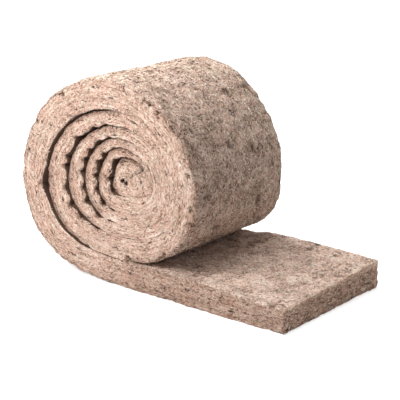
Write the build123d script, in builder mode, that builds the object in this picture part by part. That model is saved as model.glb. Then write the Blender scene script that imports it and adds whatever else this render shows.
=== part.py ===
from build123d import *
from math import cos, pi, sin
import os

# Insulation roll: one batt of felted fibre, wound up on itself from its far end and partly unrolled again,
# so that its free tail lies flat under and in front of the roll. There is no core: the turns are the batt.
# Frame: X along the tail, Y along the roll, Z up, origin on the floor at the middle of the whole length.

# Driving dimensions, in millimetres
batt_width = 570.0  # across the batt, and so along the roll
batt_thickness = 100.0  # where nothing presses on it
tail_length = 697.0  # from the heart of the roll to the cut end of the tail
roll_lean = 85.0  # of the roll's top, over towards its slack side
heart_height = 85.0  # from the eye of the roll to about the top of its innermost turn
eye_radius = 9.0  # of the hole left at the very middle
seam_gap = 2.0  # between turns that lie pressed together
slack_gap = 20.0  # between turns on the side where the roll has sprung open
pucker_length = 50.0  # from crease to crease, where bending gathers the inner face of a turn
pucker_depth = 13.0  # of the deepest of those creases

# How the roll lies. Each row is a turn, outermost first, at the bottom, slack side, top and tight side.
pressed_thickness_shares = (
    (1.00, 1.02, 1.00, 0.63),
    (0.88, 0.72, 0.53, 0.41),
    (0.46, 0.65, 0.41, 0.37),
    (0.42, 0.52, 0.32, 0.31),
    (0.61, 0.50, 0.31, 0.27),
)
slack_gap_shares = (1.4, 1.25, 0.75, 0.65, 1.0)  # one for each of those turns
pucker_depth_shares = (0.3, 1.0, 1.0, 0.9, 0.9)
heart_shares = (0.59, 0.65, 1.05, 1.2, 0.59)  # the innermost turn, of heart_height, from bottom to bottom
heart_turn_share = 0.65  # how much of a whole turn the innermost one makes

# The form of the quarter turn that starts at each side: 2 is a quarter of an ellipse, and more is squarer
fullness_shares = (2.7, 1.72, 2.2, 2.1)
heart_fullness_share = 3.2  # where the innermost turn bends round to its end

side_count = 4
sides = (Vector(0, -1), Vector(-1, 0), Vector(0, 1), Vector(1, 0))  # bottom, slack, top, tight
slack_side = 1
top_side = 2
turn_count = len(pressed_thickness_shares)
batt_end = side_count * (turn_count + heart_turn_share)  # in quarter turns, counted in from under the roll
arc_count = 6  # on a smooth quarter turn


def turn_reaches():
    """How far the outer and the inner face of the batt lie from the eye, at each side of each turn."""
    outer = [share * heart_height for share in heart_shares]
    inner = []
    for thicknesses, slack in zip(reversed(pressed_thickness_shares), reversed(slack_gap_shares)):
        gaps = [slack * slack_gap if side == slack_side else seam_gap for side in range(side_count)]
        facing = [reach + gap for reach, gap in zip(outer, gaps)]
        inner = facing + (inner or [outer[side_count] + seam_gap])
        outer = [reach + share * batt_thickness for reach, share in zip(facing, thicknesses)] + outer
    return outer, inner


outer_reaches, inner_reaches = turn_reaches()
eye = Vector((outer_reaches[slack_side] - tail_length) / 2, outer_reaches[0])
tail_end = eye.X + tail_length


def fullness(quarter):
    if quarter == int(batt_end):
        return heart_fullness_share
    return fullness_shares[quarter % side_count]


class TurningFace:
    """A face of the batt that turns with the roll. A place on it counts quarter turns in from under the roll."""

    def __init__(self, reaches, lies_on):
        self.reaches = reaches
        self.lies_on = lies_on  # how many quarters further in lies the outer face that this one follows

    def at(self, place):
        """A point of the face, seen from the eye. Equal steps of place lie about as far apart."""
        quarter = int(place)
        power = fullness(quarter + self.lies_on) / 2
        done = (place - quarter) ** power
        to_go = (quarter + 1 - place) ** power
        angle = done / (done + to_go) * pi / 2
        point = sides[quarter % side_count] * self.reaches[quarter] * cos(angle) ** (1 / power)
        if angle > 0:
            point += sides[(quarter + 1) % side_count] * self.reaches[quarter + 1] * sin(angle) ** (1 / power)
        height_share = max(0.0, point.Y) / outer_reaches[top_side]
        return point - Vector(roll_lean * height_share**2, 0)

    def draw(self, first, last, arcs, depth=0.0):
        """Draws the face from place to place as arcs. Where two arcs meet they are pushed away from the eye
        by depth, most at the slack side, so that they bulge towards it and meet in creases."""
        points = []
        for step in range(2 * arcs + 1):
            place = first + (last - first) * step / (2 * arcs)
            point = self.at(place)
            if depth and step % 2 == 0:
                point += point.normalized() * depth * sin(place % side_count * pi / 2)
            points.append(eye + point)
        for start, middle, end in zip(points[0::2], points[1::2], points[2::2]):
            ThreePointArc(start, middle, end)


outside = TurningFace(outer_reaches, lies_on=0)
inside = TurningFace(inner_reaches, lies_on=side_count)

# Where the inner face of the last turn steps in to the eye, one seam past the end that lies against it
landing_place = batt_end - side_count + seam_gap / outside.at(batt_end).length / (pi / 2)


def quarters(last):
    """The whole quarter turns up to a place, and then what is left of the last one."""
    whole = int(last)
    return [(quarter, quarter + 1) for quarter in range(whole)] + [(whole, last)]


def outer_face():
    for first, last in quarters(batt_end):
        outside.draw(first, last, arc_count)


def inner_face():
    """The face that turns towards the eye: puckered on the roll's slack half, and smooth where turns press."""
    for first, last in quarters(landing_place):
        if first % side_count < top_side:
            puckers = max(1, round((inside.at(last) - inside.at(first)).length / pucker_length))
            inside.draw(first, last, puckers, pucker_depth * pucker_depth_shares[first // side_count])
        else:
            inside.draw(first, last, arc_count)


def batt_tip():
    """The batt's hidden end, laid against its own last turn, with the eye between the two."""
    tip = eye + outside.at(batt_end)
    landing = eye + inside.at(landing_place)
    along = (tip - eye).normalized()
    across = (landing - tip) - along * (landing - tip).dot(along)
    eye_start = eye + along * eye_radius
    Line(tip, eye_start)
    ThreePointArc(eye_start, eye - along * eye_radius, eye_start + across)
    Line(eye_start + across, landing)


def tail():
    under_eye = Vector(eye.X, 0)
    Polyline(
        under_eye,
        Vector(tail_end, 0),
        Vector(tail_end, batt_thickness),
        Vector(eye.X, batt_thickness),
    )


with BuildPart() as batt:
    with BuildSketch(Plane.XZ.offset(-batt_width / 2)) as section:
        with BuildLine() as outline:
            tail()
            outer_face()
            batt_tip()
            inner_face()
        make_face()
    extrude(amount=batt_width)
batt.part.label = "insulation_batt"

os.makedirs("parts", exist_ok=True)
export_step(batt.part, "parts/insulation_batt.step")
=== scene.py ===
"""Looks of the insulation roll: its felted skin and cut faces, loose fibres, studio light and camera."""

from math import cos, pi, radians, sin

import bpy
import numpy as np
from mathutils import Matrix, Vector


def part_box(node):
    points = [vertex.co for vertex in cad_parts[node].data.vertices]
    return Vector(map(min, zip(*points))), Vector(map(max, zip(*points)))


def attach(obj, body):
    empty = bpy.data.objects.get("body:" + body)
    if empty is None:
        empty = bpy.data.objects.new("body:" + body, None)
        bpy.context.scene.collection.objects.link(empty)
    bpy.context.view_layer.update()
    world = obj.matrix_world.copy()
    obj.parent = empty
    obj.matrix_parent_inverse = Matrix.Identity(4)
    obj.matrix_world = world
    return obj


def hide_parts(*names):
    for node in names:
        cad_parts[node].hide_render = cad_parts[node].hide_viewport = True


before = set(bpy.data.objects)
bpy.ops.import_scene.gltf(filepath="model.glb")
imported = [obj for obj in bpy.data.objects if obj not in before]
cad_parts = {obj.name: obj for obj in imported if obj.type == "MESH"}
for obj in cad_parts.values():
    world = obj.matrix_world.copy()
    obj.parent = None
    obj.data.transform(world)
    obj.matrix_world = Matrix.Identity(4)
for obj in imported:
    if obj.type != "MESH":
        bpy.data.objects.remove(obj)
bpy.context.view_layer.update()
scene = bpy.context.scene

NODE = "insulation_batt"
MM = 0.001
FULL_TURN = 2 * pi

# Angles are in radians, turned inwards from below the roll by way of its slack side. Unless a comment says
# otherwise, two numbers say where something starts and is whole, and four also where it wanes and is gone.
TIGHT_ANGLE = 1.5 * pi  # to the roll's tight side

# The mesh's fineness
SHARP_BEND = radians(50)  # a corner of the section's outline
ROLL_SAMPLES = 6000  # for measuring along the roll
CREASE_SAMPLES = 20000  # for finding its creases
SKIN_STEP = 7.0 * MM  # along the batt where its skin shows
TURN_STEP = 6.0 * MM  # along the batt inside the roll
SLACK_FINENESS = 0.5  # how many more steps the slack side gets, and fewer the tight side
LANDING_CLEAR = 0.01  # beside the step where the inner face ends
LANDING_STEP = 0.002  # of that step
SKIN_ROWS = 80  # across the batt where its skin shows
ROW_CROWDING = 0.25  # how much closer they are at its sides
HIDDEN_ROWS = np.array([0, 1, 2, 3, 5, 9, 20, 40, 60, 71, 75, 77, 78, 79, 80])  # of those, inside the roll
# Through the batt on its cut faces
CUT_SHARES = np.array([0.0, 0.04, 0.1, 0.18, 0.28, 0.39, 0.5, 0.61, 0.72, 0.82, 0.9, 0.96, 1.0])

# Seams and gaps between the turns
PRESSED_SEAM = 0.25 * MM  # where they press
TOP_SEAM = 1.3 * MM  # over the top, where they only touch
TOP_SPAN = (1.9, 2.4, 2.7, 3.1)  # in the outermost turn
TOP_DRIFT = 0.3  # how much further on it ends with each turn in
TIP_SEAM = 3.5 * MM  # beside the batt's tip
TIP_SEAM_PLACE = 0.3  # from the tip back to where that is widest
TIP_SEAM_SPREAD = 0.4  # and about how far on either side
TIP_CLEAR = 0.05  # beyond the tip
OPEN_GAP = 10 * MM  # beside which a cut edge counts as free
SPRUNG_SHARES = np.array([0.66, 0.78, 0.78, 0.75, 0.64, 0.6])  # of each turn's slack gap, that it swells into
SWELL_VARIETY = 0.22  # how unevenly
GAP_START = (0.1, 0.7)  # in each turn
LOW_ANGLE = 0.85  # to where the slack side is low
LOW_SPREAD = 0.4  # and about how far on either side
LOW_OPENING = 1.25  # how much wider the gaps are there
OUTER_GAP_END = (1.45, 2.0)  # where the outermost gap narrows
OUTER_GAP_SHUT = 0.75  # and by how much
EYE_SLANT = -1.03  # of the eye's slit
SLIT_WIDTH = 0.4  # of the eye's radius
SLIT_STRETCH = 1.2  # how much longer the slit is than wide
SLIT_RAGGED = 0.35
NOISE_SPAN = 0.3  # a radian's length in noise along a row

# Creases in the inner face, and the puckers between them
GATHERED = 1.3  # how much deeper creases are than in the section
LOW_GATHERED = 0.9  # and how much more low on the slack side
CREASE_VARIETY = (0.8, 1.2)  # the least and the most of that
LEAST_CREASE = 1 * MM  # that stays open
SHALLOWEST = 0.1 * MM  # that any crease counts as
OUTER_CREASES = ((0.62, 5 * MM), (1.33, 25 * MM))  # about where the outermost turn has any, how deep
PUCKER_RUNS = (28 * MM, 54 * MM)  # the least and the most between open creases
LOBE_REACH = 32 * MM  # from a crease to the top of its pucker, at most
OUTER_LOBE_REACH = 75 * MM  # and in the outermost turn
LOBE_FULLNESS = 1.4  # how round a pucker is
CREASE_WANDER = 0.09  # from row to row

# Cut edges that draw in
EDGE_SAG = 20 * MM  # a turn's outer edge, on the way up to its top
SAG_SPAN = (1.3, 2.1, 2.5, 3.1)  # in the outermost turn
SAG_DRIFT = 0.25  # as TOP_DRIFT
SAG_REACH = 36 * MM  # through the batt from that edge
SAG_SHARE = 0.6  # of the batt's thickness, at most
SAG_LIMIT = 0.4  # of that thickness, the most that EDGE_SAG and RIM_SAG are
RIM_SAG = 8 * MM  # the rim of the whole roll
RIM_SAG_START = (0.0, 0.6)
CREASE_SAG = 11 * MM  # the gathered inner edge at a crease
CREASE_REACH = 26 * MM  # through the batt from that edge
CREASE_SHARE = 0.4  # of the batt's thickness, at most
CREASE_WIDTH = 11 * MM  # along the edge

# Cut edges that have worn round
EDGE_WEAR = 3.0 * MM
WEAR_REACH = 13 * MM  # in from an edge
FREE_WEAR = 1.5  # of that, on an edge beside an open gap
TOP_EDGE_WEAR = 1.7  # and on the tail's upper edges
LOW_EDGE_WEAR = 0.9  # and on its lower edges
RAGGED_WEAR = 0.9  # how uneven those are

# Painted shade on the cut faces, which is 1 in a deep fold
SAG_SHADE_REACH = 30 * MM  # from an edge that has drawn in
SLACK_SHADE = 0.95  # along an edge beside an open gap
SLACK_REACH = 32 * MM
SLACK_SPAN = (0.4, 0.9, 1.9, 2.4)
CREASE_SHADE = 0.7
CREASE_SHADE_REACH = 21 * MM
RIM_SHADE = 0.45  # along the rim of the whole roll
RIM_SHADE_REACH = 18 * MM
# painted shade on the cut sides of the tail, fading in from the roll
TAIL_SIDE_SHADE = 0.4
TAIL_SHADE_RUN = (-0.2, 0.15)  # along X from the eye
TAIL_SHADE_ANGLE = 0.6  # from which there is none
PIT_SHADE = 1.7  # in the pits along the rim
BARE_SHADE = 1.1  # painted shade from which no loose fibres cover a face

# Pits along the rim of the roll
RIM_PITS = 15  # at each end
PIT_SPREAD = (0.1, 1.0)  # squares of how far round the first and last are
PIT_PLACES = (6 * MM, 24 * MM)  # the nearest to the rim and the furthest
PIT_SIZE = 7.5 * MM  # from the middle of one to about its edge
PIT_DEPTH = 10 * MM

# How the roll lies
TIGHT_SIDE = (0.0, 0.31)  # along X from the eye
ABOVE_TAIL = (0.0, 0.2)  # up from the tail
BACK_SLIP = np.array([-6, 28, 40, 54]) * MM  # how much narrower the tight side is at the back
BACK_SLIP_HEIGHT = np.array([180, 330, 500, 650]) * MM  # at these heights
FRONT_SLIP = -9 * MM  # and at the front, where it is wider
BACK_DROP = 16 * MM  # how much lower the roll's top is at the back
SLACK_BULGE = 16 * MM  # of the slack side, low down
BULGE_SIDE = (-0.1, -0.45)  # along X from the eye
BULGE_SPAN = (-0.03, 0.03, 0.28, 0.45)  # up from the floor
TAIL_BACK_RISE = 16 * MM  # how much thicker the tail is along its back edge
RISE_START = (0.0, 0.2)  # along X
RISE_END = (0.45, 0.6)
RISE_LOSS = 0.6  # how much of it is lost there
TAIL_FRONT_DROP = 15 * MM  # how much thinner the tail is at its front corner
DROP_START = (0.2, 0.6)  # along X
OFF_FLOOR = (0.0, 60 * MM)
UNEVEN = 3.5 * MM  # all over, off the floor
CRUMPLED = 1.3 * MM  # how much the turns waver
HEART_CRUMPLED = 2.4 * MM  # and how much more about the eye
HEART_SIZE = 90 * MM

# Relief
LUMPS = ((3.6 * MM, 65 * MM, 21), (2.6 * MM, 28 * MM, 22), (1.0 * MM, 14 * MM, 23))  # height, size and seed
SKIN_LUMPS = 1.3  # how much lumpier the skin is than the cut faces
LAYER_HEIGHT = 2.0 * MM  # on the cut faces
LAYER_LENGTH = 9  # how much longer a layer is than thick
DENT_DEPTH = 9 * MM  # of the deepest dents in the skin
DENTED = (0.45, 0.85)  # in the noise that places them
CREASE_LINE = 130 * MM  # across the batt to a row of dents along it
CREASE_LINE_WIDTH = 11 * MM
LINE_DENTED = (0.1, 0.6)  # in the same noise upside down

# Loose fibres
CUT_FIBRES = 15000  # in each piece on the cut sides
SKIN_FIBRES = 13500  # in each piece on the outer skin
TAIL_FIBRES = 5500
END_FIBRES = 3000
FIRST_SEED = 41  # of the pieces of fibres
FIBRE_STEPS = np.array([0, 0.33, 0.67, 1])  # from tip to tip, by way of two rings
RING_ANGLES = np.array([0.25, 0.25 + 1 / 3, 0.25 + 2 / 3]) * FULL_TURN
RING_FLATNESS = 0.6  # how high a ring is for its width
FIBRE_POINTS = 8
LOWEST_SPOT = 3 * MM  # above the floor
CUT_SPREAD = 0.5  # how far they stray from a cut face's layers
LOOSE_SHARE = 0.12  # of the fibres, that stand off the face at one end
# The least and the most that those, and then the others, are long, half as wide, and lifted at one end
LOOSE_LENGTHS, FELTED_LENGTHS = (14 * MM, 32 * MM), (8 * MM, 21 * MM)
LOOSE_GIRTHS, FELTED_GIRTHS = (0.4 * MM, 0.8 * MM), (0.9 * MM, 2.3 * MM)
CUT_LIFTS, SKIN_LIFTS, FELTED_LIFTS = (2 * MM, 4.5 * MM), (2 * MM, 6.5 * MM), (0, 1.5 * MM)
SUNK = (-0.8 * MM, 0.6 * MM)  # the deepest and the highest of all
CURL = 0.25  # of a fibre's length, to one side
TIP_SINK = 0.5 * MM  # of both tips into the face
PROUD = 12 * MM  # beyond the clean batt's cut sides, at most
FLOOR_CLEAR = 0.1 * MM
PATCHES = 0.22  # how much oftener they are pale in patches of the skin
SPECKS = 0.12  # and in specks of it
CUT_PATCHES = 0.12  # and in patches of the cut faces
CUT_LAYERS = 0.26  # and in their layers
CUT_LAYER_LENGTH = 14  # how much longer such a layer is than thick
PALE_LIP = 0.6  # and along the upper edge of the tail's end, partly pale fuzz and partly a painted highlight
LIP_REACH = 16 * MM  # how far in along the tail
LIP_DROP = 26 * MM  # and how far down its end
PAINTED_SHADE_DARKENING = 0.6  # and how much oftener they are dark where shade is painted
FRONT_DARKENING = 0.14  # and darker on the skin towards the front of the roll
DARKENING_MIDDLE = 0.25  # of half the width behind its middle, where they turn paler
DARKENING_END = (0.64, 0.73)  # up from the floor
COOL_VARIETY = 0.25  # how mixed pinker and greyer fibres are
COOL_LEAST = 0.1  # of the noise that places the greyer ones
WARM_CAST = (1.06, 0.965, 0.94, 1.0)  # on a colour, where the fibre is pinker
COOL_CAST = (0.975, 1.01, 0.96, 1.0)  # and where it is greyer

# Shades of the fibres: the share of them, and the colour as it looks, from 0 to 255
CUT_TONES = [
    (0.10, 118, 90, 75), (0.17, 178, 145, 126), (0.03, 202, 156, 126),
    (0.27, 214, 183, 166), (0.25, 236, 211, 196), (0.18, 255, 242, 232),
]
# The cut end's are darker than the cut sides', as painted shade
END_TONES = [
    (0.16, 80, 59, 47), (0.26, 152, 121, 102), (0.10, 190, 142, 110),
    (0.26, 204, 171, 149), (0.22, 255, 230, 211),
]
SKIN_TONES = [
    (0.17, 82, 63, 52), (0.19, 150, 125, 106), (0.03, 204, 164, 126),
    (0.21, 206, 175, 157), (0.21, 232, 208, 190), (0.19, 255, 242, 226),
]
TAIL_TONES = [
    (0.13, 116, 94, 80), (0.20, 166, 141, 124), (0.03, 214, 174, 138),
    (0.20, 216, 188, 172), (0.22, 242, 220, 206), (0.22, 255, 248, 240),
]

# Materials
FINISH = {"Roughness": 0.95, "Specular IOR Level": 0.15, "Sheen Weight": 0.08, "Sheen Roughness": 0.6}
TAIL_SHADE = 1.25  # how light the batt's inner skin is beside its outer skin
END_PAINTED_SHADE = 0.85  # and its cut end beside its cut sides: darker, as painted shade on the face turned from the lamps
# how far painted shade darkens a face's colour
PAINTED_SHADE_TINT = 0.8
DEEP_PAINTED_SHADE = (0.95, 1.4)  # painted shade that is tinted once more
SKIN_PIT_TINT = 0.4
PIT_EDGE = (0.075, 0.04)  # from the middle of a pit, of the run from one to the next
PIT_WAVE = 9 * MM  # how ragged pits are

# Studio, with the camera at the photograph's viewing angle, well back with a long lens
CAMERA_AZIMUTH = radians(38.735)
CAMERA_ELEVATION = radians(17.512)
CAMERA_DISTANCE = 5.437
CAMERA_TARGET = Vector((0.0127, 0.0, 0.2846))
SENSOR_WIDTH = 36.0
CAMERA_LENS = 135.0
AMBIENT = 0.385  # strength of the light from all round
WHITE = (1.0, 1.0, 1.0, 1.0)
FLOOR_REACH = 30.0
FLOOR_COLOUR = (0.85, 0.85, 0.85, 1.0)
FLOOR_ROUGHNESS = 0.9
FLOOR_GLOW = 0.66  # light that the floor sends to the camera by itself
LAMPS = [  # with their places, their sizes and their power in watts
    ("key", (-0.50, -1.65, 1.75), 1.1, 32),
    ("overhead", (0.0, 0.0, 3.2), 1.4, 29),
    ("rim", (-1.75, 0.95, 2.3), 1.4, 48),
]

# Faces by where they are: the two cut sides, the cut end, the outer skin, the inner skin on the tail, and
# inside the roll the inner skin and the outer skin
SIDE, END, SKIN, TAIL_TOP, INSIDE, INSIDE_BACK = range(6)


# Noise

SEED_STEP = 17.31  # between the noises of two seeds, in cells
NOISE_GAIN = 1.6  # brings the noise to about -1 to 1
SCRAMBLE = (374761393, 668265263, 2147483647, 974711, 1274126177, 7919)  # large numbers that mix bits
LOW_31_BITS = 0x7FFFFFFF
LOW_20_BITS = 0xFFFFF


def noise(points, size, seed):
    """Gradient noise of about -1 to 1 at points, whose features are about as large as size."""
    scaled = np.asarray(points, float) / size + seed * SEED_STEP
    cell = np.floor(scaled).astype(np.int64)
    local = scaled - cell
    fade = local * local * local * (local * (local * 6 - 15) + 10)
    total = np.zeros(len(scaled))
    for corner in np.ndindex(2, 2, 2):
        mixed = ((cell + corner) * SCRAMBLE[:3]).sum(1) + seed * SCRAMBLE[3]
        mixed = (mixed ^ (mixed >> 13)) * SCRAMBLE[4] & LOW_31_BITS
        mixed = (mixed ^ (mixed >> 16)) & LOW_20_BITS
        turn = mixed / LOW_20_BITS * FULL_TURN
        lift = ((mixed * SCRAMBLE[5]) & LOW_20_BITS) / LOW_20_BITS * 2 - 1
        flat = np.sqrt(1 - lift * lift)
        gradient = np.stack([flat * np.cos(turn), flat * np.sin(turn), lift], 1)
        weight = np.prod(np.where(corner, fade, 1 - fade), 1)
        total += weight * (gradient * (local - corner)).sum(1)
    return total * NOISE_GAIN


def ease(value, low, high):
    """0 at low, 1 at high, and smooth between them."""
    share = np.clip((value - low) / (high - low), 0, 1)
    return share * share * (3 - 2 * share)


def span(value, start, whole, waning, gone, drift=0.0):
    """0 up to start, 1 from whole to waning, and 0 again once it is gone, which comes later by drift."""
    return ease(value, start, whole) * (1 - ease(value - drift, waning, gone))


def bell(value, spread):
    """1 at 0, and less the further from it, falling off over about spread."""
    return np.exp(-(value / spread) ** 2)


# The batt's section, read from the CAD node

def front_outline(node):
    """The outline of the node's front end: a loop of (x, z), from the tail's lower corner inwards."""
    mesh = node.data
    places = np.array([v.co for v in mesh.vertices])
    front = places[:, 1].min()
    keys = [tuple(np.round(place, 6)) for place in places]
    edges = set()
    for polygon in mesh.polygons:
        corners = [keys[i] for i in polygon.vertices]
        if all(abs(corner[1] - front) < 1e-5 for corner in corners):
            for edge in zip(corners, corners[1:] + corners[:1]):
                edges ^= {edge[::-1] if edge[::-1] in edges else edge}
    following = dict(edges)
    loop = [max(following, key=lambda corner: (round(corner[0], 5), -corner[2]))]
    while len(loop) < len(following):
        loop.append(following[loop[-1]])
    outline = np.array(loop)[:, [0, 2]]
    if outline[1][0] > outline[0][0] - 1e-5:
        outline = np.concatenate([outline[:1], outline[:0:-1]])
    return outline


class Section:
    """The batt's two faces as distances from the eye of the roll, by the angle."""

    def __init__(self, outline):
        steps = np.diff(np.concatenate([outline, outline[:1]]), axis=0)
        headings = np.arctan2(steps[:, 1], steps[:, 0])
        bends = np.abs((np.diff(headings) + pi) % FULL_TURN - pi)
        sharp = np.nonzero(bends > SHARP_BEND)[0] + 1
        tip, eye_start = sharp[0], sharp[1]
        eye_end = sharp[sharp > eye_start + 1][0]
        rim = outline[eye_start:eye_end + 1]
        across = np.linalg.norm(rim - rim[0], axis=1)
        self.eye = (rim[0] + rim[across.argmax()]) / 2
        self.eye_radius = across.max() / 2
        self.tail_end = outline[0][0]
        self.thickness = outline[-1][1]
        self.outer_angle, self.outer_reach = self.polar(outline[:tip + 1])
        self.inner_angle, self.inner_reach = self.polar(outline[:eye_end:-1])
        self.end_angle = self.outer_angle[-1]
        self.landing_angle = self.inner_angle[-1]

    def polar(self, points):
        away = points - self.eye
        angle = np.unwrap(np.arctan2(-away[:, 0], -away[:, 1]))
        return angle, np.linalg.norm(away, axis=1)

    def outer(self, angle):
        return np.interp(angle, self.outer_angle, self.outer_reach)

    def inner(self, angle):
        return np.interp(angle, self.inner_angle, self.inner_reach)

    def gap(self, angle):
        """The gap to the next turn in, where there is one."""
        return self.inner(angle) - self.outer(angle + FULL_TURN)

    def at(self, angle, reach):
        return self.eye + np.stack([-np.sin(angle), -np.cos(angle)], -1) * np.asarray(reach)[..., None]


section = Section(front_outline(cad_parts[NODE]))
low_corner, high_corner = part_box(NODE)
half_width = (high_corner.y - low_corner.y) / 2
eye_x, eye_z = section.eye
across_share = np.linspace(-1, 1, SKIN_ROWS + 1)
row_places = half_width * ((1 + ROW_CROWDING) * across_share - ROW_CROWDING * across_share ** 3)


# How the soft batt departs from that section

def station_angles():
    """The angles of the stations in the roll: those whose outer face shows, and those further in."""
    fine = np.linspace(0, section.end_angle - TIP_CLEAR, ROLL_SAMPLES)
    inner = np.where(fine > section.landing_angle, section.eye_radius, section.inner(fine))
    middle = section.at(fine, (section.outer(fine) + inner) / 2)
    steps = np.linalg.norm(np.diff(middle, axis=0), axis=1) * (1 + SLACK_FINENESS * np.sin(fine[1:]))
    run = np.concatenate([[0], np.cumsum(steps)])
    shown_run = np.interp(FULL_TURN, fine, run)
    shown = np.interp(np.linspace(0, shown_run, round(shown_run / SKIN_STEP) + 1), run, fine)
    inside_count = round((run[-1] - shown_run) / TURN_STEP)
    inside = np.interp(np.linspace(shown_run, run[-1], inside_count + 1), run, fine)[1:]
    inside = inside[np.abs(inside - section.landing_angle) > LANDING_CLEAR]
    landing = [section.landing_angle, section.landing_angle + LANDING_STEP]
    return shown, np.sort(np.concatenate([inside, landing]))


def puckering():
    """The creases of the inner face, as angles and depths, and the crests between them, with their gaps."""
    fine = np.linspace(0, section.landing_angle, CREASE_SAMPLES)
    gap = section.gap(fine)
    peaks = np.nonzero((gap[1:-1] > gap[:-2]) & (gap[1:-1] >= gap[2:]))[0] + 1
    crests = [start + gap[start:end].argmin() for start, end in zip(peaks[:-1], peaks[1:])]
    lows = np.interp(fine[peaks], fine[crests], gap[crests])
    return fine[peaks], np.maximum(gap[peaks] - lows, SHALLOWEST), fine[crests], gap[crests]


def low_down(turned):
    """1 where the slack side is low, and less the further round the roll from there."""
    return bell(turned - LOW_ANGLE, LOW_SPREAD)


def open_creases(angles, depths):
    """The creases that have stayed open, and their depths. Of two that lie close together one has closed."""
    chance = np.random.default_rng(5)
    kept = []
    for wanted, depth in OUTER_CREASES:
        kept.append((angles[np.abs(angles - wanted).argmin()], depth))
    run = 0.0
    for angle, depth in zip(angles, depths):
        apart = (angle - kept[-1][0]) * section.inner(angle)
        if angle > FULL_TURN and depth > LEAST_CREASE and apart > run:
            deeper = 1 + LOW_GATHERED * low_down(angle % FULL_TURN)
            kept.append((angle, GATHERED * depth * chance.uniform(*CREASE_VARIETY) * deeper))
            run = chance.uniform(*PUCKER_RUNS)
    return np.array(kept).T


*all_creases, crest_angles, crest_gaps = puckering()
crease_angles, crease_depths = open_creases(*all_creases)


def to_creases(angle):
    """The distance from each angle to the nearest open crease, and half the run between its two."""
    ends = np.concatenate([[-FULL_TURN], crease_angles, [section.end_angle + FULL_TURN]])
    after = np.clip(np.searchsorted(ends, angle), 1, len(ends) - 1)
    reach = section.inner(angle)
    away = np.minimum(angle - ends[after - 1], ends[after] - angle) * reach
    return away, (ends[after] - ends[after - 1]) / 2 * reach


def row_noise(angle, place, size, seed):
    """Noise along one row of the batt, by the angle."""
    spots = np.stack([angle * NOISE_SPAN, np.full(len(angle), place), np.zeros(len(angle))], 1)
    return noise(spots, size, seed)


def wandered(angle, place):
    """The angles at which the clean section has what lies at these angles in one row of the batt."""
    return angle + CREASE_WANDER * row_noise(angle, place, size=120 * MM, seed=3)


def eye_reach(angle):
    """The distance to the rim of the eye, which is pressed to a ragged slit."""
    spots = np.stack([np.cos(angle), np.sin(angle), np.zeros(len(angle))], 1)
    ragged = 1 + SLIT_RAGGED * noise(spots, size=0.6, seed=5)
    return section.eye_radius * (SLIT_WIDTH + SLIT_STRETCH * np.cos(angle - EYE_SLANT) ** 2) * ragged


def inner_reach(angle, place):
    """The inner face's distance from the eye, in one row of the batt."""
    swell = 1 + SWELL_VARIETY * row_noise(angle, place, size=70 * MM, seed=4)
    turn, turned = np.divmod(angle, FULL_TURN)
    spots = wandered(angle, place)
    crest = np.interp(spots, crest_angles, crest_gaps)
    away, half_run = to_creases(spots)
    longest = np.where(turn > 0, LOBE_REACH, OUTER_LOBE_REACH)
    lobe = np.clip(1 - away / np.minimum(half_run, longest), 0, 1) ** LOBE_FULLNESS
    puckers = np.interp(spots, crease_angles, crease_depths) * lobe
    left_open = (1 - SPRUNG_SHARES[turn.astype(int)]) * np.maximum(0, crest - section.gap(TIGHT_ANGLE))
    left_open *= 1 + LOW_OPENING * low_down(turned)
    shut = OUTER_GAP_SHUT * ease(turned, *OUTER_GAP_END) * (turn == 0)
    opened = (left_open * swell + puckers) * (1 - shut) * ease(turned, *GAP_START)
    over_top = span(turned, *TOP_SPAN, drift=TOP_DRIFT * turn)
    beside_tip = bell(angle + FULL_TURN - section.end_angle + TIP_SEAM_PLACE, TIP_SEAM_SPREAD)
    gap = PRESSED_SEAM + TOP_SEAM * over_top + TIP_SEAM * beside_tip + opened
    turning = section.outer(angle + FULL_TURN) + gap
    return np.where(angle > section.landing_angle, eye_reach(angle), turning)


def free_edge(angle):
    """How free the inner cut edge at an angle is to round off: 0 where the next turn presses on it."""
    clear = ease(section.gap(angle), section.gap(TIGHT_ANGLE), OPEN_GAP)
    return np.where((angle < 0) | (angle > section.landing_angle), 1.0, FREE_WEAR * clear)


def worn(distance):
    """The share of the edge wear that is felt at a distance from the edge."""
    return np.clip(1 - distance / WEAR_REACH, 0, 1) ** 2


def outer_sag(angle):
    """How far the outer cut edge draws in: most between slack side and top, with other turns round it."""
    turn, turned = np.divmod(angle, FULL_TURN)
    free = span(turned, *SAG_SPAN, drift=SAG_DRIFT * turn)
    return np.where(angle < FULL_TURN, RIM_SAG * ease(angle, *RIM_SAG_START), EDGE_SAG * free)


def inner_sag(angle, place):
    """How far the inner cut edge draws in, at its creases."""
    spots = wandered(angle, place)
    share = np.clip(np.interp(spots, crease_angles, crease_depths) / OPEN_GAP, 0, 1)
    return CREASE_SAG * share * bell(to_creases(spots)[0], CREASE_WIDTH)


def rounding(distance, reach):
    """1 at an edge and 0 at reach from it, as on a rounded cushion."""
    return 1 - np.sqrt(1 - np.clip(1 - distance / reach, 0, 1) ** 2)


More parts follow.
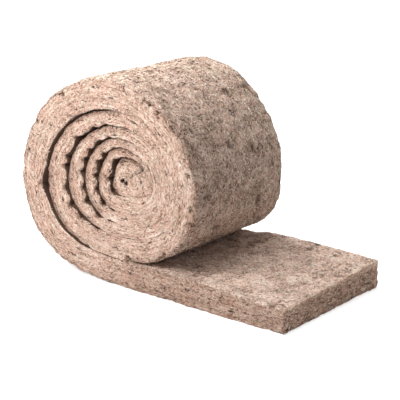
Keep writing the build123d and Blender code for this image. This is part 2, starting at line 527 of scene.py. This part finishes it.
def settle(points):
    """The roll as it really lies: wound a little askew, and uneven all over, but flat on the floor."""
    x, y, z = points.T
    from_eye = x - eye_x
    back_share = (y + half_width) / (2 * half_width)
    tight = ease(from_eye, *TIGHT_SIDE) * ease(z - section.thickness, *ABOVE_TAIL)
    high = ease(z, eye_z, high_corner.z)
    back_slip = np.interp(z, BACK_SLIP_HEIGHT, BACK_SLIP)
    moved = points.copy()
    moved[:, 0] -= (FRONT_SLIP + (back_slip - FRONT_SLIP) * back_share) * tight
    moved[:, 2] -= BACK_DROP * back_share * high
    low_slack = ease(from_eye, *BULGE_SIDE) * span(z, *BULGE_SPAN)
    moved[:, 0] -= SLACK_BULGE * low_slack
    in_tail = np.clip(z / section.thickness, 0, 1) * (z < section.thickness + 1 * MM)
    rise = TAIL_BACK_RISE * back_share ** 2 * ease(x, *RISE_START) * (1 - RISE_LOSS * ease(x, *RISE_END))
    drop = TAIL_FRONT_DROP * (1 - back_share) ** 2 * ease(x, *DROP_START)
    moved[:, 2] += in_tail * (rise - drop)
    lifted = ease(z, *OFF_FLOOR)
    for axis, seed in enumerate((11, 12, 13)):
        moved[:, axis] += lifted * UNEVEN * noise(points, 230 * MM, seed)
    heart = bell(np.hypot(from_eye, z - eye_z), HEART_SIZE)
    crumpled = lifted * (CRUMPLED + HEART_CRUMPLED * heart)
    for axis, seed in ((0, 14), (2, 15)):
        moved[:, axis] += crumpled * noise(points, 34 * MM, seed)
    return moved


def dents(points):
    """How deep the skin is dented: here and there, and in a row round the roll."""
    patchy = noise(points, size=45 * MM, seed=25)
    row = bell(points[:, 1] - CREASE_LINE, CREASE_LINE_WIDTH)
    return DENT_DEPTH * np.maximum(ease(patchy, *DENTED), row * ease(-patchy, *LINE_DENTED))


def relief(points, along, depth, cut):
    """How far the surface stands out from its plain form: lumps on the skin, layers on the cut faces."""
    lumps = sum(height * noise(points, size, seed) for height, size, seed in LUMPS)
    flattened = np.stack([along / LAYER_LENGTH, depth, points[:, 1] / LAYER_LENGTH], 1)
    layers = LAYER_HEIGHT * noise(flattened, size=14 * MM, seed=24)
    return np.where(cut, lumps + layers, SKIN_LUMPS * lumps - dents(points))


# The batt as a mesh: a strip of stations from the tail's cut end to the tip inside the roll

class Strip:
    """Points, with what the looks need to know of each, and the faces between them."""

    def __init__(self):
        self.rows = []
        self.faces, self.kinds = [], []
        self.count = 0

    def add(self, points, along, depth, shows, wear=0.0, painted_shade=0.0):
        """Adds points, with how far along and how deep in the batt they are, whether they show, how far they
        have worn in, and their painted shade. Returns their numbers."""
        columns = [np.broadcast_to(value, len(points)) for value in (along, depth, shows, wear, painted_shade)]
        self.rows.append(np.column_stack([points] + columns))
        self.count += len(points)
        return np.arange(self.count - len(points), self.count)

    def table(self):
        """The points so far, and a row for each of the other values."""
        table = np.concatenate(self.rows)
        return table[:, :3], table[:, 3:].T

    def quads(self, grid, kind, flip=False):
        rows = np.stack([grid[:-1, :-1], grid[1:, :-1], grid[1:, 1:], grid[:-1, 1:]], -1).reshape(-1, 4)
        self.faces += (rows[:, ::-1] if flip else rows).tolist()
        self.kinds += [kind] * len(rows)

    def fans(self, fine, coarse, kind, flip=False):
        """Joins a row of the skin that shows to a coarser row inside the roll."""
        for step in range(len(coarse) - 1):
            stretch = fine[HIDDEN_ROWS[step]:HIDDEN_ROWS[step + 1] + 1].tolist()
            face = [coarse[step]] + stretch + [coarse[step + 1]]
            self.faces.append(face if flip else face[::-1])
            self.kinds.append(kind)

    def end_face(self, outer, inner, front, back, kind, flip):
        """Closes an end of the strip with a grid between its four edges."""
        points, (along, depth, *_) = self.table()
        grid = np.zeros((len(front), len(outer)), int)
        grid[0], grid[-1], grid[:, 0], grid[:, -1] = outer, inner, front, back
        for step, share in enumerate(CUT_SHARES[1:-1], 1):
            row = points[outer[1:-1]] * (1 - share) + points[inner[1:-1]] * share
            grid[step, 1:-1] = self.add(row, along[front[0]], depth[front[step]], shows=1.0)
        self.quads(grid, kind, flip)


def at_row(flat, place):
    """Points of the section, (x, z), placed across the batt."""
    return np.stack([flat[:, 0], np.broadcast_to(place, len(flat)), flat[:, 1]], 1)


def near(distance, reach):
    """1 at an edge, 0 at reach from it, and smooth between them."""
    return 1 - ease(distance, 0, reach)


class Stations:
    """The stations of the strip, and how the batt is at each of them."""

    def __init__(self):
        shown, inside = station_angles()
        tail_run = section.tail_end - eye_x
        self.tail = np.linspace(section.tail_end, eye_x, round(tail_run / SKIN_STEP) + 1)[:-1]
        angles = self.angles = np.concatenate([shown, inside])
        self.tail_count = len(self.tail)
        self.shown_count = self.tail_count + len(shown)
        self.count = self.tail_count + len(angles)
        level = 0 * self.tail
        turning = section.at(angles, section.outer(angles))
        self.outer = np.concatenate([np.stack([self.tail, level], 1), turning])
        middle = (self.outer + self.inner(0.0)) / 2
        self.along = np.concatenate([[0], np.cumsum(np.linalg.norm(np.diff(middle, axis=0), axis=1))])

        uneven = noise(np.stack([self.tail, level, level], 1), size=32 * MM, seed=6)
        low_wear = LOW_EDGE_WEAR * (1 + RAGGED_WEAR * uneven)
        self.outer_free = self.joined(low_wear, free_edge(angles - FULL_TURN))
        self.inner_free = self.joined(TOP_EDGE_WEAR, free_edge(angles))
        self.end_wear = TOP_EDGE_WEAR * EDGE_WEAR * worn(self.along)
        self.outer_in = self.joined(0.0, outer_sag(angles))
        self.inner_in = {}

        turned = angles % FULL_TURN
        slack = span(turned, *SLACK_SPAN) * (angles > FULL_TURN)
        self.beside_gap = self.joined(0.0, slack)
        self.on_rim = np.arange(self.count) < self.shown_count
        # where the painted shade of the tail's cut sides falls
        lowest = self.joined(0.0, angles) < TAIL_SHADE_ANGLE
        self.in_tail = lowest * ease(self.outer[:, 0] - eye_x, *TAIL_SHADE_RUN)

    def joined(self, on_tail, in_roll):
        """One value for each station, from those on the tail and those in the roll."""
        return np.concatenate([np.broadcast_to(on_tail, self.tail_count), in_roll])

    def inner(self, place):
        """The inner face in one row of the batt."""
        top = np.stack([self.tail, np.full(self.tail_count, section.thickness)], 1)
        return np.concatenate([top, section.at(self.angles, inner_reach(self.angles, place))])

    def cut_side(self, strip, row, chance):
        """Adds one cut side of the batt to the strip. Returns its points' numbers."""
        rim_start, rim_end = self.along[[self.tail_count, self.shown_count]]
        pit_along = rim_start + (rim_end - rim_start) * np.sqrt(chance.uniform(*PIT_SPREAD, RIM_PITS))
        pit_depth = chance.uniform(*PIT_PLACES, RIM_PITS)
        place = row_places[row]
        across = self.inner(place) - self.outer
        thick = np.linalg.norm(across, axis=1)
        self.outer_in = np.minimum(self.outer_in, SAG_LIMIT * thick)
        self.inner_in[row] = self.joined(0.0, inner_sag(self.angles, place))
        columns = []
        for share in CUT_SHARES:
            depth, height = share * thick, (1 - share) * thick
            sag = self.outer_in * rounding(depth, np.minimum(SAG_REACH, SAG_SHARE * thick))
            sag += self.inner_in[row] * rounding(height, np.minimum(CREASE_REACH, CREASE_SHARE * thick))
            points = at_row(self.outer + across * share, place * (1 - sag / half_width))
            wear = np.maximum(self.outer_free * worn(depth), self.inner_free * worn(height))
            to_pits = np.hypot(self.along[:, None] - pit_along, depth[:, None] - pit_depth)
            pitted = bell(to_pits.min(1), PIT_SIZE)
            # painted shade: darker where an edge draws in, beside an open gap, at a crease, along the rim, on
            # the tail's sides and in the pits
            shades = [
                self.outer_in / EDGE_SAG * near(depth, SAG_SHADE_REACH),
                SLACK_SHADE * self.beside_gap * near(depth, SLACK_REACH),
                CREASE_SHADE * self.inner_in[row] / CREASE_SAG * near(height, CREASE_SHADE_REACH),
                RIM_SHADE * self.on_rim * near(depth, RIM_SHADE_REACH),
                TAIL_SIDE_SHADE * self.in_tail,
                PIT_SHADE * pitted,
            ]
            sunk = EDGE_WEAR * wear + PIT_DEPTH * pitted
            columns.append(strip.add(points, self.along, depth, 1.0, sunk, np.max(shades, axis=0)))
        return np.stack(columns, 1)

    def skins(self, strip, front, back):
        """Adds both skins to the strip, with fewer rows inside the roll. Returns their points' numbers."""
        outer = np.full((self.count, SKIN_ROWS + 1), -1)
        inner = outer.copy()
        outer[:, 0], outer[:, -1] = front[:, 0], back[:, 0]
        inner[:, 0], inner[:, -1] = front[:, -1], back[:, -1]
        for row in range(1, SKIN_ROWS):
            place = row_places[row]
            edge_wear = EDGE_WEAR * worn(half_width - abs(place))
            inner_in = self.inner_in[0 if place < 0 else SKIN_ROWS]
            skins = [
                (outer, self.shown_count, self.outer, 0.0, self.outer_in, self.outer_free),
                (inner, self.tail_count, self.inner(place), section.thickness, inner_in, self.inner_free),
            ]
            for grid, shown_count, flat, depth, drawn_in, free in skins:
                reach = self.count if row in HIDDEN_ROWS else shown_count
                points = at_row(flat, place * (1 - drawn_in / half_width))[:reach]
                wear = np.maximum(edge_wear * free, self.end_wear)[:reach]
                shows = np.arange(reach) < shown_count
                grid[:reach, row] = strip.add(points, self.along[:reach], depth, shows, wear)
        return outer, inner


def make_strip():
    stations, strip = Stations(), Strip()
    chance = np.random.default_rng(6)
    front = stations.cut_side(strip, 0, chance)
    back = stations.cut_side(strip, SKIN_ROWS, chance)
    outer, inner = stations.skins(strip, front, back)
    shown_count, tail_count, few = stations.shown_count, stations.tail_count, HIDDEN_ROWS
    strip.quads(front, SIDE, flip=True)
    strip.quads(back, SIDE)
    strip.quads(outer[:shown_count], SKIN)
    strip.fans(outer[shown_count - 1], outer[shown_count, few], INSIDE_BACK)
    strip.quads(outer[shown_count:, few], INSIDE_BACK)
    strip.quads(inner[:tail_count], TAIL_TOP, flip=True)
    strip.fans(inner[tail_count - 1], inner[tail_count, few], INSIDE, flip=True)
    strip.quads(inner[tail_count:, few], INSIDE, flip=True)
    strip.end_face(outer[0], inner[0], front[0], back[0], END, flip=True)
    strip.end_face(outer[-1, few], inner[-1, few], front[-1], back[-1], INSIDE, flip=False)
    return strip


def read(items, name, width=1, kind=np.float32):
    """What all items of a mesh have under a name, as an array with so many numbers to a row."""
    values = np.zeros(len(items) * width, kind)
    items.foreach_get(name, values)
    return values.reshape(-1, width) if width > 1 else values


def add_piece(name, mesh, kinds):
    """An object of the mesh, smooth all over, whose faces have materials by their kinds."""
    mesh.polygons.foreach_set("material_index", kinds.astype(np.int32))
    mesh.polygons.foreach_set("use_smooth", np.ones(len(kinds), bool))
    mesh.update()
    piece = bpy.data.objects.new(name, mesh)
    scene.collection.objects.link(piece)
    return piece


def make_batt():
    strip = make_strip()
    points, (along, depth, shows, wear, painted_shade) = strip.table()
    mesh = bpy.data.meshes.new("batt")
    mesh.from_pydata(settle(points), [], strip.faces)
    kinds = np.array(strip.kinds)
    loops = read(mesh.loops, "vertex_index", kind=int)
    loop_kinds = np.repeat(kinds, read(mesh.polygons, "loop_total", kind=int))

    cut = np.zeros(len(points), bool)
    cut[loops[(loop_kinds == SIDE) | (loop_kinds == END)]] = True
    places = read(mesh.vertices, "co", 3)
    normals = read(mesh.vertices, "normal", 3)
    # on the skin, painted shade in its dents
    painted_shade = np.where(cut, painted_shade, shows * dents(places) / DENT_DEPTH)
    rise = shows * relief(places, along, depth, cut) - wear
    places = places + normals * rise[:, None]
    places[:, 2] = np.maximum(places[:, 2], 0)
    mesh.vertices.foreach_set("co", places.astype(np.float32).ravel())

    at_end = loop_kinds == END
    across = np.where(at_end | (loop_kinds == SIDE), depth[loops], points[loops, 1])
    lengthwise = np.where(at_end, points[loops, 1], along[loops])
    strip_map = mesh.uv_layers.new(name="strip")
    strip_map.data.foreach_set("uv", np.stack([lengthwise, across], 1).astype(np.float32).ravel())
    mesh.attributes.new("painted_shade", "FLOAT", "POINT").data.foreach_set("value", painted_shade.astype(np.float32))
    return add_piece("felted_batt", mesh, kinds), kinds


# Loose fibres, felted into the faces and standing off them

def fibre_faces():
    """The triangles of one fibre: tip, two rings of three points, tip."""
    faces = []
    for i in range(3):
        j = (i + 1) % 3
        faces += [(0, 1 + j, 1 + i), (1 + i, 1 + j, 4 + j), (1 + i, 4 + j, 4 + i), (7, 4 + i, 4 + j)]
    return np.array(faces)


def unit(vectors):
    return vectors / np.maximum(np.linalg.norm(vectors, axis=-1, keepdims=True), 1e-9)


def scatter(batt, face_kinds, kind, count, chance):
    """Random spots on one kind of face: their places, normals, directions along the batt, places on the
    unrolled batt, and how much shade is painted there."""
    mesh = batt.data
    mesh.calc_loop_triangles()
    corners = read(mesh.loop_triangles, "vertices", 3, int)
    loops = read(mesh.loop_triangles, "loops", 3, int)
    owners = read(mesh.loop_triangles, "polygon_index", kind=int)
    places = read(mesh.vertices, "co", 3)
    normals = read(mesh.vertices, "normal", 3)
    painted_shade = read(mesh.attributes["painted_shade"].data, "value")
    flat = read(mesh.uv_layers["strip"].data, "uv", 2)

    triangles = places[corners]
    sides = triangles[:, 1:] - triangles[:, :1]
    area = np.linalg.norm(np.cross(sides[:, 0], sides[:, 1]), axis=1)
    shown = (face_kinds[owners] == kind) & (triangles[:, :, 2].mean(1) > LOWEST_SPOT)
    weight = area * shown * (painted_shade[corners].mean(1) < BARE_SHADE)
    chosen = chance.choice(len(corners), count, p=weight / weight.sum())
    root, share = np.sqrt(chance.random(count)), chance.random(count)
    mixed = np.stack([1 - root, root * (1 - share), root * share], 1)[:, :, None]
    spots = (triangles[chosen] * mixed).sum(1)
    upright = unit((normals[corners[chosen]] * mixed).sum(1))
    flat = flat[loops[chosen]]
    flat_sides = flat[:, 1:] - flat[:, :1]
    along = sides[chosen, 0] * flat_sides[:, 1, 1:] - sides[chosen, 1] * flat_sides[:, 0, 1:]
    turned_over = flat_sides[:, 0, 0] * flat_sides[:, 1, 1] < flat_sides[:, 1, 0] * flat_sides[:, 0, 1]
    along = np.where(turned_over[:, None], -along, along)
    along = unit(along - upright * (along * upright).sum(1, keepdims=True))
    spot_painted_shade = (painted_shade[corners[chosen]] * mixed[:, :, 0]).sum(1)
    return spots, upright, along, (flat * mixed).sum(1), spot_painted_shade


def paleness(kind, spots, flat):
    """How much oftener than elsewhere the fibres at spots on one kind of face are pale."""
    patches = noise(spots, size=55 * MM, seed=31)
    if kind in (SIDE, END):
        layers = np.stack([flat[:, 0] / CUT_LAYER_LENGTH, flat[:, 1], spots[:, 1]], 1)
        pale = CUT_PATCHES * patches + CUT_LAYERS * noise(layers, size=16 * MM, seed=33)
    else:
        pale = PATCHES * patches + SPECKS * noise(spots, size=18 * MM, seed=32)
    # pale fuzz and a painted highlight along the upper edge of the tail's end
    if kind in (TAIL_TOP, END):
        at_end = near(section.tail_end - spots[:, 0], LIP_REACH)
        pale += PALE_LIP * at_end * ease(spots[:, 2], section.thickness - LIP_DROP, section.thickness)
    # darker towards the front of the roll's skin, below its top
    if kind == SKIN:
        forward = DARKENING_MIDDLE - spots[:, 1] / half_width
        pale -= FRONT_DARKENING * forward * (1 - ease(spots[:, 2], *DARKENING_END))
    return pale


def grow_fibres(name, batt, face_kinds, kind, count, tones, seed):
    """A piece of loose fibres on one kind of face: along the layers where it is cut, or else every way."""
    layered = kind in (SIDE, END)
    chance = np.random.default_rng(seed)
    spots, upright, along, flat, spot_painted_shade = scatter(batt, face_kinds, kind, count, chance)
    turn = chance.normal(0, 1, count)[:, None] * (CUT_SPREAD if layered else FULL_TURN)
    cross = np.cross(upright, along)
    heading = along * np.cos(turn) + cross * np.sin(turn)
    aside = cross * np.cos(turn) - along * np.sin(turn)
    loose = chance.random(count) < LOOSE_SHARE

    def drawn(if_loose, otherwise):
        """One number for each fibre, between two limits."""
        first, second = chance.uniform(*if_loose, count), chance.uniform(*otherwise, count)
        return np.where(loose, first, second)[:, None, None]

    length = drawn(LOOSE_LENGTHS, FELTED_LENGTHS)
    curl = chance.normal(0, CURL, count)[:, None, None]
    girth = drawn(LOOSE_GIRTHS, FELTED_GIRTHS)[..., None]
    lift = drawn(CUT_LIFTS if layered else SKIN_LIFTS, FELTED_LIFTS)
    sunk = chance.uniform(*SUNK, count)[:, None, None]
    step = FIBRE_STEPS[None, :, None]
    bowed = (2 * step - 1) ** 2
    path = spots[:, None] + heading[:, None] * length * (step - 0.5)
    path = path + aside[:, None] * curl * length * (bowed - 1 / 3)
    path = path + upright[:, None] * (sunk + lift * step ** 2 - TIP_SINK * bowed)

    sideways = aside[:, None, None] * np.cos(RING_ANGLES)[None, None, :, None]
    upwards = upright[:, None, None] * np.sin(RING_ANGLES)[None, None, :, None]
    rings = path[:, 1:3, None] + (sideways + RING_FLATNESS * upwards) * girth
    points = np.concatenate([path[:, :1], rings.reshape(count, 6, 3), path[:, 3:]], 1).reshape(-1, 3)
    points[:, 1] = np.clip(points[:, 1], -half_width - PROUD, half_width + PROUD)
    points[:, 2] = np.maximum(points[:, 2], FLOOR_CLEAR)
    pattern = fibre_faces()
    faces = (pattern[None] + FIBRE_POINTS * np.arange(count)[:, None, None]).reshape(-1, 3)
    mesh = bpy.data.meshes.new(name)
    mesh.from_pydata(points, [], faces)

    bounds = np.cumsum([share for share, *colour in tones])
    pale = chance.random(count) + paleness(kind, spots, flat) - PAINTED_SHADE_DARKENING * spot_painted_shade
    tone = np.searchsorted(bounds[:-1], np.clip(pale, 0, 0.999))
    coolness = noise(spots, size=45 * MM, seed=34) + chance.normal(0, COOL_VARIETY, count)
    tone += len(tones) * (coolness > COOL_LEAST)
    for tint, cast in (("warm", WARM_CAST), ("cool", COOL_CAST)):
        for index, (share, *colour) in enumerate(tones):
            tinted = tuple(min(1.0, a * b) for a, b in zip(srgb(*colour), cast))
            mesh.materials.append(Shader(f"{name}_{tint}_{index}").finish(tinted))
    return add_piece(name, mesh, np.repeat(tone, len(pattern)))


# Materials

def srgb(red, green, blue):
    """A colour written as it looks, from 0 to 255, as the linear colour that shaders use."""
    shares = [value / 255 for value in (red, green, blue)]
    linear = [share / 12.92 if share < 0.04045 else ((share + 0.055) / 1.055) ** 2.4 for share in shares]
    return (*linear, 1.0)


class Nodes:
    """A tree of shader nodes, with short ways to add to it."""

    def __init__(self, tree):
        self.tree = tree

    def node(self, kind, inputs, **settings):
        made = self.tree.nodes.new("ShaderNode" + kind)
        for key, value in settings.items():
            setattr(made, key, value)
        for socket, value in inputs.items():
            self.feed(made.inputs[socket], value)
        return made

    def feed(self, socket, value):
        if isinstance(value, bpy.types.NodeSocket):
            self.tree.links.new(value, socket)
        else:
            socket.default_value = value

    def math(self, operation, first, second):
        return self.node("Math", {0: first, 1: second}, operation=operation).outputs[0]

    def seen_directly(self):
        """1 where the camera looks straight at the surface, or sees it in a mirror or through glass."""
        path = self.node("LightPath", {}).outputs
        seen = self.math("MAXIMUM", path["Is Camera Ray"], path["Is Glossy Ray"])
        return self.math("MAXIMUM", seen, path["Is Transmission Ray"])


class Shader(Nodes):
    """The nodes of a new material."""

    def __init__(self, name):
        self.material = bpy.data.materials.new(name)
        self.material.use_nodes = True
        super().__init__(self.material.node_tree)
        self.surface = self.tree.nodes["Principled BSDF"]

    def place(self):
        return self.node("TexCoord", {}).outputs["Object"]

    def strip(self):
        return self.node("UVMap", {}, uv_map="strip").outputs["UV"]

    def painted_shade(self):
        return self.node("Attribute", {}, attribute_name="painted_shade").outputs["Fac"]

    def stretched(self, vector, length, width, turn=0.0):
        """vector in units of a streak that is so long and so wide, turned in its plane."""
        inputs = {"Vector": vector, "Rotation": (0, 0, turn)}
        turned = self.node("Mapping", inputs).outputs["Vector"]
        scale = (1 / length, 1 / width, 1)
        return self.node("Mapping", {"Vector": turned, "Scale": scale}).outputs["Vector"]

    def noise(self, vector, size=1.0, detail=2.0, roughness=0.5):
        inputs = {"Vector": vector, "Scale": 1 / size, "Detail": detail, "Roughness": roughness}
        return self.node("TexNoise", inputs).outputs["Fac"]

    def pits(self, strip, place, length, width):
        """1 in ragged pits, of which there is one in each stretch so long and so wide, and 0 elsewhere."""
        wavy = self.node("TexNoise", {"Vector": place, "Scale": 1 / PIT_WAVE}).outputs["Color"]
        inputs = {0: wavy, 1: (PIT_WAVE, PIT_WAVE, 0)}
        shifted = self.node("VectorMath", inputs, operation="MULTIPLY").outputs[0]
        ragged = self.node("VectorMath", {0: strip, 1: shifted}, operation="ADD").outputs[0]
        inputs = {"Vector": self.stretched(ragged, length, width), "Scale": 1.0}
        away = self.node("TexVoronoi", inputs, voronoi_dimensions="2D").outputs["Distance"]
        return self.rise(away, *PIT_EDGE)

    def rise(self, value, low, high):
        """value as 0 at low and 1 at high, and smooth between them."""
        inputs = {"Value": value, "From Min": low, "From Max": high}
        return self.node("MapRange", inputs, interpolation_type="SMOOTHSTEP").outputs["Result"]

    def blend(self, weights):
        """A weighted sum of values."""
        total = None
        for value, weight in weights:
            part = self.math("MULTIPLY", value, weight)
            total = part if total is None else self.math("ADD", total, part)
        return total

    def ramp(self, value, stops):
        made = self.node("ValToRGB", {"Fac": value})
        band = made.color_ramp.elements
        for index, (position, colour) in enumerate(stops):
            stop = band[index] if index < 2 else band.new(position)
            stop.position = position
            stop.color = colour
        return made.outputs["Color"]

    def mix(self, first, second, share):
        inputs = {0: share, 6: first, 7: second}
        return self.node("Mix", inputs, data_type="RGBA", blend_type="MIX").outputs[2]

    def bump(self, height, distance, strength):
        inputs = {"Height": height, "Distance": distance, "Strength": strength}
        return self.node("Bump", inputs).outputs["Normal"]

    def finish(self, colour, normal=None):
        self.feed(self.surface.inputs["Base Color"], colour)
        if normal:
            self.feed(self.surface.inputs["Normal"], normal)
        for name, value in FINISH.items():
            self.surface.inputs[name].default_value = value
        return self.material


def shaded(tints, shade):
    """Pairs of a number and a colour, with the colour made lighter or darker."""
    return [(number, tuple(min(1.0, shade * part) for part in tint[:3]) + (1.0,)) for number, tint in tints]


def cut_material(name, shade):
    """The knife-cut faces: warm, with the batt's layers running along them, and with painted shade in folds
    and pits. shade is how light they are.
    """
    shader = Shader(name)
    place, strip, painted_shade = shader.place(), shader.strip(), shader.painted_shade()
    layers = shader.noise(shader.stretched(strip, length=160 * MM, width=9 * MM), detail=3)
    fibres = shader.noise(shader.stretched(strip, length=18 * MM, width=2.6 * MM), detail=2)
    grain = shader.noise(place, size=4.5 * MM, detail=3, roughness=0.6)
    mottle = shader.noise(place, size=60 * MM, detail=3)
    tone = shader.blend([(layers, 0.45), (fibres, 0.3), (grain, 0.5), (mottle, 0.15)])
    stops = [
        (0.53, srgb(122, 92, 75)),
        (0.65, srgb(198, 162, 142)),
        (0.74, srgb(228, 198, 180)),
        (0.86, srgb(255, 240, 228)),
    ]
    colour = shader.ramp(tone, shaded(stops, shade))
    # painted shade: darker in folds, beside gaps, along the rim, on the tail's sides and in pits, and darker
    # still in the deepest of it
    colour = shader.mix(colour, srgb(128, 98, 80), shader.math("MULTIPLY", painted_shade, PAINTED_SHADE_TINT))
    colour = shader.mix(colour, srgb(66, 45, 34), shader.rise(painted_shade, *DEEP_PAINTED_SHADE))
    # painted shade: dark in ragged pits
    pits = shader.pits(strip, place, length=260 * MM, width=60 * MM)
    colour = shader.mix(colour, srgb(84, 60, 46), pits)
    height = shader.blend([(layers, 0.5), (fibres, 0.5), (grain, 0.6), (pits, -1.2)])
    return shader.finish(colour, shader.bump(height, distance=2.2 * MM, strength=0.8))


def skin_material(name, shade):
    """The felted faces: greyer, with fibres lying every way, and with painted shade in dents and pits. shade
    is how light they are.
    """
    shader = Shader(name)
    place, strip, painted_shade = shader.place(), shader.strip(), shader.painted_shade()
    lays = []
    for turn in (20, 75, 140):
        lay = shader.stretched(strip, length=22 * MM, width=2.8 * MM, turn=radians(turn))
        lays.append(shader.noise(lay, detail=2))
    fibres = shader.math("MAXIMUM", shader.math("MAXIMUM", lays[0], lays[1]), lays[2])
    grain = shader.noise(place, size=5 * MM, detail=3, roughness=0.6)
    mottle = shader.noise(place, size=55 * MM, detail=3)
    tone = shader.blend([(fibres, 0.5), (grain, 0.5), (mottle, 0.35)])
    stops = [
        (0.56, srgb(92, 72, 60)),
        (0.68, srgb(174, 147, 131)),
        (0.78, srgb(216, 190, 174)),
        (0.92, srgb(252, 236, 224)),
    ]
    colour = shader.ramp(tone, shaded(stops, shade))
    # painted shade in the skin's dents
    colour = shader.mix(colour, srgb(90, 70, 57), shader.math("MULTIPLY", painted_shade, PAINTED_SHADE_TINT))
    # painted shade: darker in ragged pits
    pits = shader.pits(strip, place, length=190 * MM, width=150 * MM)
    colour = shader.mix(colour, srgb(98, 76, 64), shader.math("MULTIPLY", pits, SKIN_PIT_TINT))
    height = shader.blend([(fibres, 0.6), (grain, 0.6), (pits, -1.2)])
    return shader.finish(colour, shader.bump(height, distance=2.4 * MM, strength=0.8))


# Studio

def add_facing(name, data, place):
    """An object for a lamp or a camera that faces the camera's target."""
    added = bpy.data.objects.new(name, data)
    added.location = place
    added.rotation_mode = "QUATERNION"
    added.rotation_quaternion = (CAMERA_TARGET - added.location).to_track_quat("-Z", "Y")
    scene.collection.objects.link(added)
    return added


def add_camera():
    data = bpy.data.cameras.new("camera")
    data.sensor_fit = "HORIZONTAL"
    data.sensor_width = SENSOR_WIDTH
    data.lens = CAMERA_LENS
    level = cos(CAMERA_ELEVATION)
    back = Vector((sin(CAMERA_AZIMUTH) * level, -cos(CAMERA_AZIMUTH) * level, sin(CAMERA_ELEVATION)))
    scene.camera = add_facing("camera", data, CAMERA_TARGET + back * CAMERA_DISTANCE)


def add_lamp(name, place, size, power):
    data = bpy.data.lights.new(name, "AREA")
    data.shape = "DISK"
    data.size = size
    data.energy = power
    add_facing(name, data, place)


def add_world():
    world = bpy.data.worlds.new("studio")
    world.use_nodes = True
    nodes = Nodes(world.node_tree)
    background = nodes.tree.nodes["Background"]
    background.inputs["Color"].default_value = WHITE
    inputs = {"Value": nodes.seen_directly(), "To Min": AMBIENT, "To Max": 1.0}
    nodes.feed(background.inputs["Strength"], nodes.node("MapRange", inputs).outputs["Result"])
    scene.world = world


def add_floor():
    mesh = bpy.data.meshes.new("floor")
    corners = [(x * FLOOR_REACH, y * FLOOR_REACH, 0) for x, y in ((-1, -1), (1, -1), (1, 1), (-1, 1))]
    mesh.from_pydata(corners, [], [(0, 1, 2, 3)])
    shader = Shader("pale_floor")
    shader.surface.inputs["Base Color"].default_value = FLOOR_COLOUR
    shader.surface.inputs["Roughness"].default_value = FLOOR_ROUGHNESS
    shader.surface.inputs["Emission Color"].default_value = WHITE
    shown = shader.math("MULTIPLY", shader.seen_directly(), FLOOR_GLOW)
    shader.feed(shader.surface.inputs["Emission Strength"], shown)
    mesh.materials.append(shader.material)
    floor = bpy.data.objects.new("floor", mesh)
    scene.collection.objects.link(floor)


batt, face_kinds = make_batt()
for material in (
    cut_material("cut_fibre", 1.0),
    # a darker copy, as painted shade on the cut end that faces away from the lamps
    cut_material("shaded_cut_end_fibre", END_PAINTED_SHADE),
    skin_material("outer_skin", 1.0),
    skin_material("inner_skin", TAIL_SHADE),
    # flat colours with painted shade, for the skins inside the roll where they show in its gaps
    Shader("shaded_inner_skin").finish(srgb(92, 70, 57)),
    Shader("shaded_outer_skin").finish(srgb(190, 158, 138)),
):
    batt.data.materials.append(material)
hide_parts(NODE)
pieces = [batt]
groups = [
    ("cut_fibres_1", SIDE, CUT_FIBRES, CUT_TONES),
    ("cut_fibres_2", SIDE, CUT_FIBRES, CUT_TONES),
    ("skin_fibres_1", SKIN, SKIN_FIBRES, SKIN_TONES),
    ("skin_fibres_2", SKIN, SKIN_FIBRES, SKIN_TONES),
    ("tail_fibres", TAIL_TOP, TAIL_FIBRES, TAIL_TONES),
    ("end_fibres", END, END_FIBRES, END_TONES),
]
for seed, (name, kind, count, tones) in enumerate(groups, FIRST_SEED):
    pieces.append(grow_fibres(name, batt, face_kinds, kind, count, tones, seed))
for piece in pieces:
    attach(piece, "root")

add_floor()
add_world()
for name, place, size, power in LAMPS:
    add_lamp(name, place, size, power)
add_camera()

scene.view_settings.view_transform = "Standard"
